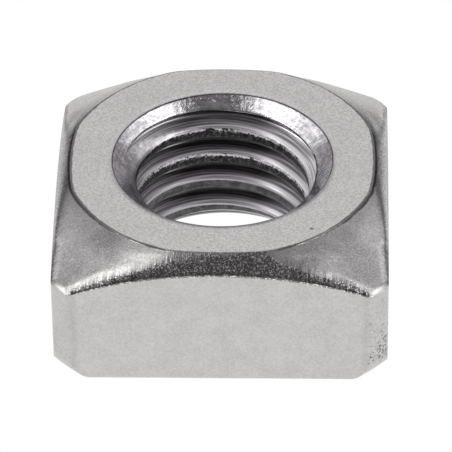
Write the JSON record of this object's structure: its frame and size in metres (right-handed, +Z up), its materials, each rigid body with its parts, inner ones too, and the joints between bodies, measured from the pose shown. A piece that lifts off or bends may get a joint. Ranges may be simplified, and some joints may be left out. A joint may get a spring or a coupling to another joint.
{
  "type": "square nut",
  "caption": "Metric square nut with a conically chamfered top, a flat ring around a countersunk hole with a right-hand thread, rounded top edges and a flat bearing face.",
  "frame": {"origin": "centre of the flat bearing face, on the axis of the thread hole", "axes": "+Z up the thread hole towards the chamfered face with the ring; +X and +Y square to the side faces; -Y is the side that faces the viewer in the picture"},
  "size_m": [0.013, 0.013, 0.0059],
  "materials": {
    "steel": "satin cold-formed stainless steel"
  },
  "bodies": {
    "root": {"square_nut": "steel"}
  },
  "joints": []
}
